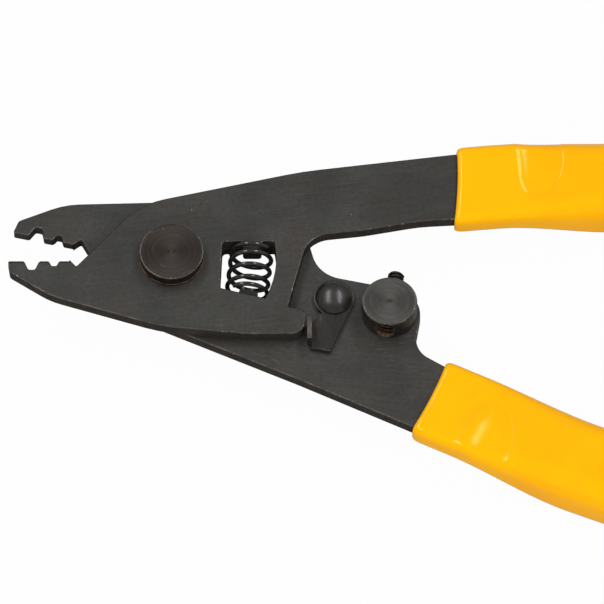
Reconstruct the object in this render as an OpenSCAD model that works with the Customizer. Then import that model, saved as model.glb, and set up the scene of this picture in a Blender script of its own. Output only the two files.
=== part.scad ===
// Fibre stripper: two crossed steel plates on a pivot stud, with three notches in the jaws,
// a return spring in a window, a swinging lock latch, a stop screw and vinyl grips.
// The pivot axis is Z. The jaws point to -X and the handles to +X, and the stud's flat
// rear end lies at z = 0.

/* [Plates] */
// Thickness of each stamped steel plate
plate_t = 2.3; // [1.9:0.1:2.7]
// Running gap between the two plates
plate_gap = 0.05; // [0.02:0.01:0.1]
// Angle between the jaw edges when the tool is open
open_angle = 13; // [12:0.25:14]
// Angle through which the handles close on the stop screw
close_angle = 14; // [13:0.25:15]

/* [Jaws] */
// Reach of the jaws from the pivot axis to their tips
jaw_reach = 28.3; // [27.4:0.1:30]
// Distance of the front jaw's edge below the pivot axis
front_land = 0.4; // [0.2:0.05:0.6]
// Distance of the rear jaw's edge from the pivot axis
rear_land = 0.05; // [0:0.05:0.3]
// Width of the jaw at its blunt tip
jaw_tip_h = 2.5; // [2:0.1:3]
// Width of the jacket notch at the jaw's edge
jacket_notch_w = 2.8; // [2.4:0.1:3.1]
// Depth of the jacket notch
jacket_notch_h = 1.95; // [1.5:0.05:2.2]
// Width of the buffer notch at the jaw's edge
buffer_notch_w = 2; // [1.6:0.1:2.4]
// Depth of the buffer notch
buffer_notch_h = 1.2; // [0.8:0.05:1.5]
// Depth of the coating notch at the root of the jaws
coating_notch_h = 1.3; // [0.9:0.05:1.5]
// Width of the bevel ground along each jaw's edge
jaw_bevel = 0.5; // [0.3:0.05:0.7]

/* [Pivot] */
// Diameter of the pivot stud's shank
stud_d = 6.35; // [5.6:0.05:7]
// Diameter of the pivot stud's head
stud_head_d = 11.1; // [10:0.1:12.4]
// Height of the pivot stud's head
stud_head_h = 1.8; // [1.4:0.1:2.4]
// Diameter of the peened rear end of the stud
stud_tail_d = 8.8; // [8:0.1:9.6]
// Height of the peened rear end of the stud
stud_tail_h = 1; // [0.8:0.1:1.4]
// Outer diameter of the bronze washer under the head
front_washer_d = 11.3; // [10.6:0.1:12.4]
// Thickness of the bronze washer under the head
front_washer_t = 0.4; // [0.3:0.05:0.6]
// Outer diameter of the steel washer behind the plates
rear_washer_d = 11.1; // [10:0.1:12]
// Thickness of the steel washer behind the plates
rear_washer_t = 0.5; // [0.4:0.05:0.8]

/* [Return spring] */
// Outer diameter of the spring
spring_d = 7.8; // [7.2:0.1:8]
// Diameter of the spring wire
wire_d = 0.8; // [0.6:0.05:0.9]
// Number of turns
spring_turns = 4.25; // [3.25:0.25:5]
// Width of each spring seat nub
nub_w = 3.4; // [2.8:0.1:3.8]
// Length of each spring seat nub
nub_h = 2.3; // [1.6:0.1:2.6]

/* [Lock latch] */
// Thickness of the latch sheet
latch_t = 0.75; // [0.6:0.05:1]
// Radius of the latch's round end
latch_r = 3.5; // [3.3:0.1:3.7]
// Length of the latch from the rivet's axis to its free end
latch_len = 10.65; // [10.2:0.05:11.2]
// Height of the bent-up flange above the rear plate
flange_h = 3.1; // [2.6:0.1:3.5]
// Diameter of the rivet's shank
rivet_d = 3.2; // [2.8:0.1:3.6]
// Diameter of the rivet's domed head
rivet_head_d = 6.4; // [5.8:0.1:6.8]
// Height of the rivet's domed head
rivet_head_h = 1.75; // [1.3:0.05:2.1]

/* [Stop] */
// Diameter of the stop post
post_d = 9.525; // [8.8:0.025:9.8]
// Height of the stop post above the rear plate
post_h = 4.5; // [4.2:0.1:5.2]
// Diameter of the post's tenon through the plate
tenon_d = 5; // [4.4:0.1:5.8]
// Diameter of the stop screw
screw_d = 2.84; // [2.5:0.02:3]
// Length of the stop screw
screw_len = 9.5; // [8.5:0.1:10]
// Width across flats of the stop screw's socket
socket_w = 1.27; // [1:0.01:1.5]

/* [Handles] */
// Width of the flat shank where it enters the grip
shank_w = 13.1; // [12.4:0.1:13.8]
// Length of each handle past the mouth of its grip
handle_len = 95; // [86:1:104]
// Length of flat plate inside the grip
flat_len = 6.5; // [5.5:0.25:6.75]
// Length over which the shank is formed into a channel
form_len = 22; // [20:0.5:24]
// Width of the formed channel
channel_w = 13; // [12.4:0.1:13.6]
// Depth of the formed channel
channel_h = 6.8; // [6.4:0.1:7.4]
// Outer bend radius of the channel
bend_r = 2.8; // [2.6:0.1:3]
// Depth of the dent pressed into each shank
dent_h = 0.8; // [0.4:0.05:1.1]

/* [Grips] */
// Wall of the vinyl grips
grip_wall = 1.05; // [0.9:0.05:1.15]
// Clearance between a grip and its handle
grip_fit = 0.15; // [0.1:0.01:0.2]
// Rounding of the closed end of a grip
grip_end_r = 3; // [2:0.25:3.5]

/* [Hidden] */
$fn = 64;
arc_step = 7.5;         // turn of one facet of a filleted corner, degrees
eps = 0.01;
through = 40;           // longer than anything it cuts

fit_running = 0.05;     // radial, a pin in a part that turns on it
fit_fixed = 0.03;       // radial, a pin in a part that it is peened to

black_steel = [0.26, 0.255, 0.24];
dark_steel = [0.2, 0.195, 0.185];
bronze = [0.55, 0.33, 0.22];
yellow_vinyl = [1, 0.74, 0];

// Levels of the stack on the pivot, from the stud's rear end
z_rear_washer = stud_tail_h;
z_rear = z_rear_washer + rear_washer_t;
z_split = z_rear + plate_t;
z_front = z_split + plate_gap;
z_face = z_front + plate_t;
z_washer = z_face + plate_gap;
z_head = z_washer + front_washer_t;
z_top = z_head + stud_head_h;

// Places in the plane of the plates
latch_at = [28, -7.15];
post_at = [37.55, -9.85];
post_skirt = 0.35;      // plate beyond the post's foot
post_turn = -12;        // direction of the plate's edge at the post, degrees
screw_turn = -10.9;     // lean of the stop screw's axis from +Y, degrees
stop_gap = 0.1;         // left between the screw and the handle when closed
seat_gap = 0.1;         // left between the spring and its seats

// Each handle: start of its centreline, its direction there and at its end, the side (+1 or
// -1) that faces away from the other handle, the distance from its grip's mouth to its dent,
// and the lean of that mouth
upper = [[49.4, 14.25], 5.8, -4, 1, 14, 8];
lower = [[44.6, -26.4], -26, -14, -1, 11.8, -1.5];

// Lower edge of the upper handle, which meets the stop screw
underside = [[33.1, 5.45], [42.8, 7.3]];

// ---------------------------------------------------------------- outline functions

function unit(v) = v / norm(v);
function turned(p, a) = [p.x * cos(a) - p.y * sin(a), p.x * sin(a) + p.y * cos(a)];
function arc(r, a0, a1, n) = [for (i = [0:n]) let (a = a0 + (a1 - a0) * i / n) r * [cos(a), sin(a)]];
function smooth(t) = let (u = max(0, min(1, t))) u * u * (3 - 2 * u);
function mix(a, b, t) = a + (b - a) * t;

// The fillet of radius r that replaces corner b between its neighbours a and c
function fillet(a, b, c, r) =
    r <= 0 ? [b] :
    let (u = unit(a - b),
         v = unit(c - b),
         half = acos(u * v) / 2,
         reach = min(r / tan(half), 0.48 * min(norm(a - b), norm(c - b))),
         radius = reach * tan(half),
         centre = b + unit(u + v) * radius / sin(half),
         from = b + u * reach - centre,
         to = b + v * reach - centre,
         start = atan2(from.y, from.x),
         turn = (atan2(to.y, to.x) - start + 540) % 360 - 180,
         n = max(2, ceil(abs(turn) / arc_step)))
    [for (i = [0:n]) centre + radius * [cos(start + turn * i / n), sin(start + turn * i / n)]];

function xy(corner) = [corner.x, corner.y];

// An outline from corners given as [x, y, radius]
function rounded(corners) =
    let (n = len(corners))
    [for (i = [0:n - 1])
        let (before = corners[(i + n - 1) % n], after = corners[(i + 1) % n])
        each fillet(xy(before), xy(corners[i]), xy(after), corners[i].z)];

function corner(p, r = 0) = [p.x, p.y, r];

// ---------------------------------------------------------------- handle centrelines

function angle_at(h, s) = h[1] + (h[2] - h[1]) * s / handle_len;
function point_at(h, s) =
    let (r = handle_len * 180 / (PI * (h[2] - h[1])), a = angle_at(h, s))
    h[0] + r * [sin(a) - sin(h[1]), cos(h[1]) - cos(a)];
function across(h, s, v) = point_at(h, s) + v * turned([0, 1], angle_at(h, s));

// ---------------------------------------------------------------- jaws

// Places along the jaw, measured in from its tip
jacket_x = 4.15 - jaw_reach;
buffer_x = 8 - jaw_reach;
jaw_root_x = 10.7 - jaw_reach;   // end of the jaw's edge beside the coating notch
gullet_x = 11.85 - jaw_reach;
jaw_belly = [7.4 - jaw_reach, -7.55, 14];
jaw_lead = [-5.4, 10.85, 13];    // corner of the edge that crosses the other plate

// A notch's four corners, in an edge at height y, from its root side to its tip side
function notch(x, y, w, h, r) =
    [[x + w / 2, y, 0.25], [x + w * 0.2, y - h, r], [x - w * 0.2, y - h, r], [x - w / 2, y, 0.25]];

// The lower jaw with its edge level, from the crossing edge round the tip to the belly
function jaw(land) = concat(
    [jaw_lead,
     [gullet_x, -land - coating_notch_h, 0.25],
     [jaw_root_x, -land, 0.3]],
    notch(buffer_x, -land, buffer_notch_w, buffer_notch_h, 0.2),
    notch(jacket_x, -land, jacket_notch_w, jacket_notch_h, 0.5),
    [[-jaw_reach, -land, 0.4],
     [-jaw_reach + 0.4, -land - jaw_tip_h, 1],
     jaw_belly]);

// The same jaw turned over and opened, for the rear plate
function opened(corners) = [for (c = corners) corner(turned([c.x, -c.y], -open_angle), c.z)];

// ---------------------------------------------------------------- plates

function shank(h) = concat(
    [for (s = [0, flat_len / 2, flat_len]) corner(across(h, s, shank_w / 2))],
    [for (s = [flat_len, flat_len / 2, 0]) corner(across(h, s, -shank_w / 2))]);

function reversed(list) = [for (i = [len(list) - 1:-1:0]) list[i]];

heel = [23, -15.1];     // outer corner of the lobe that the latch hooks over
ledge_y = -10.2;

front_outline = concat(
    jaw(front_land),
    [[-1.9, -13.6, 25],
     [13.1, heel.y, 20],
     [heel.x, heel.y, 3.4],
     [heel.x, ledge_y, 1.1],
     [20.05, ledge_y + 0.4, 0.5],
     [23.55, 4.35, 5.2],
     corner(underside[0], 30),
     corner(underside[1], 30)],
    reversed(shank(upper)),
    [[22.5, 17.35, 60]]);

// Corner whose fillet runs round the foot of the stop post
post_foot_r = post_d / 2 + post_skirt;
post_corner = post_at + post_foot_r * (turned([1, 0], post_turn) + turned([0, 1], post_turn));

rear_outline = concat(
    opened(jaw(rear_land)),
    [[5, 12.7, 20],
     [22.2, 10, 4],
     [25.35, -1.95, 6],
     corner(post_corner, post_foot_r),
     [41.75, -17, 4.2]],
    shank(lower),
    [[22, -22.85, 60]]);

// ---------------------------------------------------------------- spring window

window_r = 18.05;       // the window's outer wall, about the pivot
window_w = [9.3, 9.75]; // from there in to the inner wall, at the top and at the bottom
window_left = [window_r - window_w.x, window_r - window_w.y];
window_top = 3.25;
window_foot = -5.95;    // y of the bottom edge at the inner wall
window_a0 = asin(window_top / window_r);
window_a1 = -26.4;
window_end = window_r * [cos(window_a1), sin(window_a1)];
window_low = [window_left.y, window_foot];

top_seat_in = 4.15;     // from the outer wall's radius in to the middle of the top seat
low_seat_in = 4.7;      // from the inner wall to the middle of the low seat
top_seat = [window_r - top_seat_in, window_top];
low_along = unit(window_end - window_low);
low_seat = window_low + low_along * low_seat_in;
low_up = turned(low_along, 90);

// A seat nub: base centre, direction along the edge and direction away from it
nub_taper = 0.1;
function nub(at, along, away) =
    let (foot = along * nub_w / 2, tip = along * (nub_w / 2 - nub_taper), out = away * nub_h)
    [corner(at - foot, 0.3), corner(at - tip + out, 0.5),
     corner(at + tip + out, 0.5), corner(at + foot, 0.3)];

function window(nub_on_top) = concat(
    [[window_low.x, window_low.y, 0.6],
     [window_left.x, window_top, 0.7]],
    nub_on_top ? nub(top_seat, [1, 0], [0, -1]) : [],
    [for (p = arc(window_r, window_a0, window_a1, 6)) corner(p)],
    nub_on_top ? [] : nub(low_seat, -low_along, low_up));

module plate(outline, opening, z) {
    difference() {
        translate([0, 0, z]) linear_extrude(plate_t) polygon(rounded(outline));
        translate([0, 0, z - 1]) linear_extrude(plate_t + 2) polygon(rounded(opening));
    }
}

// Bevel along the straight jaw edge, on the face that looks along +Z
module jaw_bevel_cut(land, z) {
    translate([-jaw_reach - 1, -land - jaw_bevel, z])
        rotate([-45, 0, 0]) cube([jaw_reach + jaw_root_x + 1, 4, 4]);
}

module front_plate() {
    color(black_steel) difference() {
        union() {
            plate(front_outline, window(true), z_front);
            channel(upper, z_face);
        }
        cylinder(h = through, d = stud_d + 2 * fit_running, center = true);
        jaw_bevel_cut(front_land, z_face);
    }
}

module rear_plate() {
    color(black_steel) difference() {
        union() {
            plate(rear_outline, window(false), z_rear);
            channel(lower, z_split);
        }
        cylinder(h = through, d = stud_d + 2 * fit_fixed, center = true);
        translate(latch_at) cylinder(h = through, d = rivet_d + 2 * fit_fixed, center = true);
        translate(post_at) cylinder(h = through, d = tenon_d + 2 * fit_fixed, center = true);
        rotate(-open_angle) translate([0, 0, 2 * z_rear + plate_t]) mirror([0, 1, 0]) mirror([0, 0, 1])
            jaw_bevel_cut(rear_land, z_split);
    }
}

// ---------------------------------------------------------------- formed handles

face_parts = 8;         // facets across the front of a handle
arc_parts = 5;          // facets round one bend
sheet_lap = 0.05;       // a formed section starts this much deeper than the flat plate
min_bend = 0.1;         // sharpest bend of a section
edge_bend = 0.4;        // bend along a shank's edges where it is still flat
back_bend = 1.2;        // bend of a formed handle's back edges

function formed(h, s) = smooth((s - flat_len) / form_len);
function half_w(h, s) = mix(shank_w, channel_w, formed(h, s)) / 2;
function depth(h, s) = mix(plate_t + sheet_lap, channel_h, formed(h, s));
function outer_bend(h, s) = mix(edge_bend, bend_r, formed(h, s));

// Depth of the dent at distance s along the handle and v across it: a flat-bottomed pocket
// with sloping sides, rounded on the inner side and open on the outer one
dent_reach = 5.4;
dent_open = 2.5;        // beyond this distance from the centreline it is fully open
dent_span = 7.9;
dent_floor = 0.5;       // share of its reach that is flat
function dent(h, s, v) =
    let (u = (s - h[4]) / dent_reach, w = max(0, dent_open - h[3] * v) / dent_span)
    dent_h * (1 - smooth((norm([u, w]) - dent_floor) / (1 - dent_floor)));
function dented(h, s, points) =
    let (limit = depth(h, s) - plate_t)
    [for (p = points) [p.x, p.y - min(limit, dent(h, s, p.x))]];

function bend(centre, r, a0, a1) = [for (p = arc(r, a0, a1, arc_parts)) centre + p];

// A face at height y that reaches c to each side of the middle and turns down there through
// bends of radius r, from +v to -v
function face(c, y, r) = concat(
    bend([c, y - r], r, 0, 90),
    [for (i = [1:face_parts - 1]) [c * (1 - 2 * i / face_parts), y]],
    bend([-c, y - r], r, 90, 180));

// Front of a section with its two bends, offset outwards by g
function front_side(h, s, g) =
    let (r = outer_bend(h, s) + g)
    dented(h, s, face(half_w(h, s) + g - r, g, r));

// Radius of a section's two back edges, offset outwards by g
function back_r(h, s, g) =
    let (r = mix(edge_bend, back_bend, formed(h, s)) + g)
    max(min_bend, min(r, depth(h, s) / 2 + g - sheet_lap));

// One back edge of a section, on the side given by its sign
function back_edge(h, s, g, side) =
    let (r = back_r(h, s, g), c = half_w(h, s) + g - r)
    bend([side * c, r - g - depth(h, s)], r, side < 0 ? 180 : 270, side < 0 ? 270 : 360);

// Closed section of a grip's surface, offset outwards by g
function grip_section(h, s, g) =
    concat(front_side(h, s, g), back_edge(h, s, g, -1), back_edge(h, s, g, 1));

// Closed U section of the steel channel
function channel_section(h, s) =
    let (w = half_w(h, s),
         wi = w - plate_t,
         low = -depth(h, s),
         r = min(max(outer_bend(h, s) - plate_t, 3 * min_bend), 0.8 * (depth(h, s) - plate_t)))
    concat(front_side(h, s, 0),
        back_edge(h, s, 0, -1),
        [[-wi, low]],
        dented(h, s, reversed(face(wi - r, -plate_t, r))),
        [[wi, low]],
        back_edge(h, s, 0, 1));

// Puts a section at distance s along a handle, with its front at height z. The grip's mouth
// leans, and sags towards its corners; both fade out over the flat stretch.
mouth_sag = 0.3;
function mouth(h, s, v) =
    max(0, 1 - s / flat_len) * (v * tan(h[5]) - mouth_sag * pow(2 * v / shank_w, 2));
function placed(h, s, z, section) =
    [for (p = section) let (q = across(h, s + mouth(h, s, p.x), p.x)) [q.x, q.y, z + p.y]];

// A closed skin through rings of equal length
module skin(rings) {
    n = len(rings[0]);
    m = len(rings);
    sides = [for (k = [0:m - 2], i = [0:n - 1]) let (j = (i + 1) % n)
        each [[k * n + i, k * n + j, (k + 1) * n + j], [k * n + i, (k + 1) * n + j, (k + 1) * n + i]]];
    polyhedron(points = [for (r = rings) each r],
        faces = concat([[for (i = [n - 1:-1:0]) i]], sides, [[for (i = [0:n - 1]) (m - 1) * n + i]]));
}

// Distances of the sections along a handle: close together where it is formed
fine_parts = 18;
coarse_parts = 6;
function stations(end) = concat(
    [for (k = [0:fine_parts - 1]) flat_len + form_len * k / fine_parts],
    [for (k = [0:coarse_parts]) mix(flat_len + form_len, end, k / coarse_parts)]);

// The channel's root is a little smaller than the flat shank all round, so that it enters
// the shank through its end face alone
root_in = 0.4;
root_scale = 0.93;

module channel(h, z) {
    root = [for (p = channel_section(h, flat_len))
        [p.x * root_scale, (p.y + plate_t / 2) * root_scale - plate_t / 2]];
    skin(concat(
        [for (s = reversed(stations(handle_len)))
            if (s > flat_len) placed(h, s, z, channel_section(h, s))],
        [for (s = [flat_len + root_in, flat_len - root_in]) placed(h, s, z, root)]));
}

// A grip is skinned from its rounded end along the outside to the mouth, over the rolled
// lip, and back along the inside to the bottom of the pocket
module grip(h, z) {
    outer = grip_wall + grip_fit;
    lip = 0.5 * grip_wall;
    body_end = handle_len + outer - grip_end_r;
    dome = [for (a = [80:-20:0]) [body_end + grip_end_r * sin(a), outer - grip_end_r * (1 - cos(a))]];
    outside = [for (s = reversed(stations(body_end - 2))) [s, outer]];
    mouth = [[mix(lip, flat_len, 2 / 3), outer], [mix(lip, flat_len, 1 / 3), outer],
        [lip, outer], [0, outer - lip], [0, grip_fit]];
    inside = [for (s = stations(handle_len + grip_fit)) [s, grip_fit]];
    color(yellow_vinyl) skin([
        for (ring = concat(dome, outside, mouth, inside))
            placed(h, ring[0], z, grip_section(h, ring[0], ring[1]))]);
}

module upper_grip() grip(upper, z_face);
module lower_grip() grip(lower, z_split);

// ---------------------------------------------------------------- pivot

stud_chamfer = 0.35;
punch_d = 0.7;          // centre mark in the stud's and the post's face

module pivot_stud() {
    color(dark_steel) difference() {
        rotate_extrude() polygon([
            [0, 0], [stud_tail_d / 2 - stud_chamfer, 0], [stud_tail_d / 2, stud_chamfer],
            [stud_tail_d / 2, z_rear_washer], [stud_d / 2, z_rear_washer],
            [stud_d / 2, z_head], [stud_head_d / 2, z_head],
            [stud_head_d / 2, z_top - stud_chamfer], [stud_head_d / 2 - stud_chamfer, z_top],
            [0, z_top]]);
        translate([0, 0, z_top - punch_d / 2]) cylinder(h = punch_d, d1 = 0, d2 = 2 * punch_d);
    }
}

module washer(z, d, t, fit) {
    translate([0, 0, z]) difference() {
        cylinder(h = t, d = d);
        translate([0, 0, -1]) cylinder(h = t + 2, d = stud_d + 2 * fit);
    }
}

module pivot_washer() color(bronze) washer(z_washer, front_washer_d, front_washer_t, fit_running);
module rear_washer() color(dark_steel) washer(z_rear_washer, rear_washer_d, rear_washer_t, fit_fixed);

// ---------------------------------------------------------------- return spring

spring_r = (spring_d - wire_d) / 2;
spring_axis = unit(top_seat - low_seat);
// How far an end coil must stand off an edge that leans from it
function stand_off(along) = seat_gap + wire_d / 2 + (spring_d / 2) * abs(spring_axis * along);
spring_from = low_seat + spring_axis * stand_off(low_along);
spring_to = top_seat - spring_axis * stand_off([1, 0]);
spring_len = norm(spring_to - spring_from);
wire_sides = 8;
turn_parts = 16;

// Height of the wire along the axis after t turns: the end turns are wound closer
closed_pitch = 1.8;     // in wire diameters
closed_turns = 1;
wire_start = 230;       // where the wire begins, as an angle about the axis
function coil_height(t) =
    let (dead = closed_pitch * wire_d, end = dead * closed_turns, left = spring_turns - t)
    t < closed_turns ? dead * t :
    left < closed_turns ? spring_len - dead * left :
    mix(end, spring_len - end, (t - closed_turns) / (spring_turns - 2 * closed_turns));

module return_spring() {
    n = spring_turns * turn_parts;
    rings = [for (k = [0:n])
        let (t = k / turn_parts, a = wire_start + 360 * t, h = coil_height(t))
        [for (i = [0:wire_sides - 1])
            let (b = 360 * i / wire_sides, r = spring_r + wire_d / 2 * cos(b))
            [r * cos(a), h + wire_d / 2 * sin(b), -r * sin(a)]]];
    color(dark_steel) translate([spring_from.x, spring_from.y, z_split + plate_gap / 2])
        rotate(atan2(spring_axis.y, spring_axis.x) - 90) skin(rings);
}

// ---------------------------------------------------------------- lock latch

latch_z = z_split + plate_gap;
flange_x = latch_at.x - 4.6;     // outer face of the flange
flange_y = [latch_at.y - 4.85, latch_at.y - 9.25];
flange_lap = 0.2;       // overlap of the flange's foot with the flat sheet
latch_edge = 22.6;      // lean of the latch's straight right edge, degrees
latch_tip_lean = 3.7;   // lean of its free corner from the rivet, degrees
latch_neck = [2.4, 1.6];         // relief above the flange, in from the rivet and the flange
latch_toe = 0.6;        // rise of the free edge towards the flange
latch_tip = latch_at + turned([0, -latch_len], -latch_tip_lean);

module lock_latch() {
    tail = rounded([
        corner(latch_at),
        corner(latch_at + latch_r * turned([1, 0], -latch_edge)),
        corner(latch_tip, 0.3),
        [flange_x + latch_t - 0.1, latch_tip.y + latch_toe, 0.2],
        [flange_x + latch_t, flange_y[1], 0],
        [flange_x + latch_t, flange_y[0], 0],
        [latch_at.x - latch_neck.x, flange_y[0] + latch_neck.y, 0.3]]);
    flange = concat(
        [[latch_t + flange_lap, 0]],
        [for (a = [270:-22.5:180]) latch_t * [1 + cos(a), 1 + sin(a)]],
        [[0, flange_h - plate_gap], [latch_t, flange_h - plate_gap],
         [latch_t, latch_t], [latch_t + flange_lap, latch_t]]);
    color(black_steel) difference() {
        translate([0, 0, latch_z]) union() {
            translate(latch_at) cylinder(h = latch_t, r = latch_r);
            linear_extrude(latch_t) polygon(tail);
            translate([flange_x, flange_y[0], 0]) rotate([90, 0, 0])
                linear_extrude(flange_y[0] - flange_y[1]) polygon(flange);
        }
        translate(latch_at) cylinder(h = through, d = rivet_d + 2 * fit_running, center = true);
    }
}

rivet_tail_d = 5.2;
rivet_tail_h = 0.8;
rivet_rim_h = 0.25;     // straight rim under the dome

module latch_rivet() {
    z_dome = latch_z + latch_t + plate_gap;
    rise = rivet_head_h - rivet_rim_h;
    r = rivet_head_d / 2;
    sphere_r = (r * r + rise * rise) / (2 * rise);
    color(dark_steel) translate(latch_at) {
        translate([0, 0, z_rear - rivet_tail_h]) cylinder(h = rivet_tail_h, d = rivet_tail_d);
        translate([0, 0, z_rear - eps]) cylinder(h = z_dome - z_rear + 2 * eps, d = rivet_d);
        intersection() {
            translate([0, 0, z_dome]) cylinder(h = rivet_head_h, r = r);
            translate([0, 0, z_dome + rivet_head_h - sphere_r]) sphere(r = sphere_r);
        }
    }
}

// ---------------------------------------------------------------- stop

post_chamfer = 0.3;
post_tail_d = 7;
post_tail_h = 0.8;
screw_z = z_split + post_h / 2;
screw_along = turned([0, 1], screw_turn);
screw_across = turned([1, 0], screw_turn);

// Reach of the screw's tip from the post's axis: its near corner stops just short of the
// upper handle's lower edge when the handles are closed
closed_edge = [for (p = underside) turned(p, -close_angle)];
edge_down = turned(unit(closed_edge[1] - closed_edge[0]), -90);
screw_reach = ((closed_edge[0] - post_at + screw_across * screw_d / 2) * edge_down + stop_gap)
    / (screw_along * edge_down);

module along_screw(from) {
    translate([post_at.x, post_at.y, screw_z]) rotate([0, 0, screw_turn]) rotate([-90, 0, 0])
        translate([0, 0, from]) children();
}

module stop_post() {
    color(dark_steel) difference() {
        translate(post_at) {
            rotate_extrude() polygon([
                [0, z_rear - post_tail_h], [post_tail_d / 2, z_rear - post_tail_h],
                [post_tail_d / 2, z_rear], [tenon_d / 2, z_rear],
                [tenon_d / 2, z_split], [post_d / 2, z_split],
                [post_d / 2, z_split + post_h - post_chamfer],
                [post_d / 2 - post_chamfer, z_split + post_h], [0, z_split + post_h]]);
        }
        along_screw(-post_d) cylinder(h = 2 * post_d, d = screw_d + 2 * fit_running);
        translate([post_at.x, post_at.y, z_split + post_h - punch_d / 2])
            cylinder(h = punch_d, d1 = 0, d2 = 2 * punch_d);
    }
}

screw_chamfer = 0.3;
socket_h = 1.6;

module stop_screw() {
    color(dark_steel) along_screw(screw_reach - screw_len) difference() {
        rotate_extrude() polygon([
            [0, 0], [screw_d / 2 - screw_chamfer, 0], [screw_d / 2, screw_chamfer],
            [screw_d / 2, screw_len - screw_chamfer], [screw_d / 2 - screw_chamfer, screw_len],
            [0, screw_len]]);
        translate([0, 0, -1]) cylinder(h = socket_h + 1, d = socket_w / cos(30), $fn = 6);
    }
}

front_plate();
rear_plate();
pivot_stud();
pivot_washer();
rear_washer();
return_spring();
lock_latch();
latch_rivet();
stop_post();
stop_screw();
upper_grip();
lower_grip();
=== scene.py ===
"""Fibre stripper: two crossed plates of blackened steel on a pivot stud, with a return
spring, a lock latch, a stop post with its set screw, and grips dipped in yellow vinyl."""
import math

import bpy
from mathutils import Matrix, Vector


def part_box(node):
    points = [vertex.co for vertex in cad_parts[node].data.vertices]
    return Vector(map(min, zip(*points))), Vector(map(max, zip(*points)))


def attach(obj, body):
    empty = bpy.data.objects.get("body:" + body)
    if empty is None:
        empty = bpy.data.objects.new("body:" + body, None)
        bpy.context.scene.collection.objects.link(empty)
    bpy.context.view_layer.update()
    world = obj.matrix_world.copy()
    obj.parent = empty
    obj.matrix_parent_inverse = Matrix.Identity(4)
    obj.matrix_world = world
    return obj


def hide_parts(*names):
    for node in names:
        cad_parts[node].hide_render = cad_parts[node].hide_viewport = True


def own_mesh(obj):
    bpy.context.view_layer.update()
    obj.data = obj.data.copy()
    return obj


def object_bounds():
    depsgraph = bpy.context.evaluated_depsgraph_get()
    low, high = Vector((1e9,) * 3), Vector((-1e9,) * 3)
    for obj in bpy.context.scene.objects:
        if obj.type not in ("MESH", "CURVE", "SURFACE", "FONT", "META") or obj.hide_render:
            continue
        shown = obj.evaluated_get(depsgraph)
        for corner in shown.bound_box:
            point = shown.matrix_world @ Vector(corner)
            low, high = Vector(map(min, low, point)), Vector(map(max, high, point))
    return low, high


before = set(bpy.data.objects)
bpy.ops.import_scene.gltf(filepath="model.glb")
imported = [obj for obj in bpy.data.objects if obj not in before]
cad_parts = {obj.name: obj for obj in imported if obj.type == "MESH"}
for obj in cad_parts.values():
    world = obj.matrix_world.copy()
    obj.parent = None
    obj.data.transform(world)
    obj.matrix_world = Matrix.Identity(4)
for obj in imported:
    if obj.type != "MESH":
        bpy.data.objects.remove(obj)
cad_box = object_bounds()
MM = 0.001


# ------------------------------------------------------------------ steel plates
# The two halves of the tool: stamped steel plate with ground jaw edges and three notches,
# blackened all over. Each shank runs on into a channel pressed inside its grip.

EDGE_BREAK = 0.18 * MM      # rounding left on the stamped edges
SAME_PLACE = 0.001 * MM     # corners nearer than this are one corner
PLATE_DARK = (0.033, 0.0322, 0.0290, 1)
PLATE_LIGHT = (0.048, 0.0472, 0.0425, 1)
PLATE_RUST = (0.044, 0.028, 0.022, 1)
PORE_BLACK = (0.012, 0.011, 0.010, 1)
# Side wall colours: browned by blanking, and painted darker than the faces as painted shade
WALL_SHADE_DARK = (0.023, 0.0205, 0.0180, 1)
WALL_SHADE_BROWN = (0.034, 0.0275, 0.0230, 1)
BARE_STEEL = (0.30, 0.27, 0.24, 1)
WORN_EDGE = (0.105, 0.080, 0.066, 1)


def node(tree, kind, sockets=None, **settings):
    """Adds a shader node, sets what it is told and links or sets its inputs."""
    made = tree.nodes.new("ShaderNode" + kind)
    for name, value in settings.items():
        setattr(made, name, value)
    for name, value in (sockets or {}).items():
        if isinstance(value, bpy.types.NodeSocket):
            tree.links.new(value, made.inputs[name])
        else:
            made.inputs[name].default_value = value
    return made


def maths(tree, operation, a, b=0.0):
    return node(tree, "Math", {0: a, 1: b}, operation=operation).outputs[0]


def mix_colour(tree, share, a, b):
    mixed = node(tree, "Mix", {0: share}, data_type="RGBA")
    for socket, value in ((mixed.inputs[6], a), (mixed.inputs[7], b)):
        if isinstance(value, bpy.types.NodeSocket):
            tree.links.new(value, socket)
        else:
            socket.default_value = value
    return mixed.outputs[2]


def ramp(tree, value, low, high, to_low=0.0, to_high=1.0):
    return node(tree, "MapRange", {0: value, 1: low, 2: high, 3: to_low, 4: to_high}, clamp=True).outputs[0]


def group(name, inputs, outputs):
    """An empty shader node group, with its input node and output node."""
    tree = bpy.data.node_groups.new(name, "ShaderNodeTree")
    for socket, kind in inputs:
        tree.interface.new_socket(socket, in_out="INPUT", socket_type="NodeSocket" + kind)
    for socket, kind in outputs:
        tree.interface.new_socket(socket, in_out="OUTPUT", socket_type="NodeSocket" + kind)
    return tree, tree.nodes.new("NodeGroupInput"), tree.nodes.new("NodeGroupOutput")


def use(tree, effect, sockets):
    made = tree.nodes.new("ShaderNodeGroup")
    made.node_tree = effect
    for name, value in sockets.items():
        if isinstance(value, bpy.types.NodeSocket):
            tree.links.new(value, made.inputs[name])
        else:
            made.inputs[name].default_value = value
    return made.outputs


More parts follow.
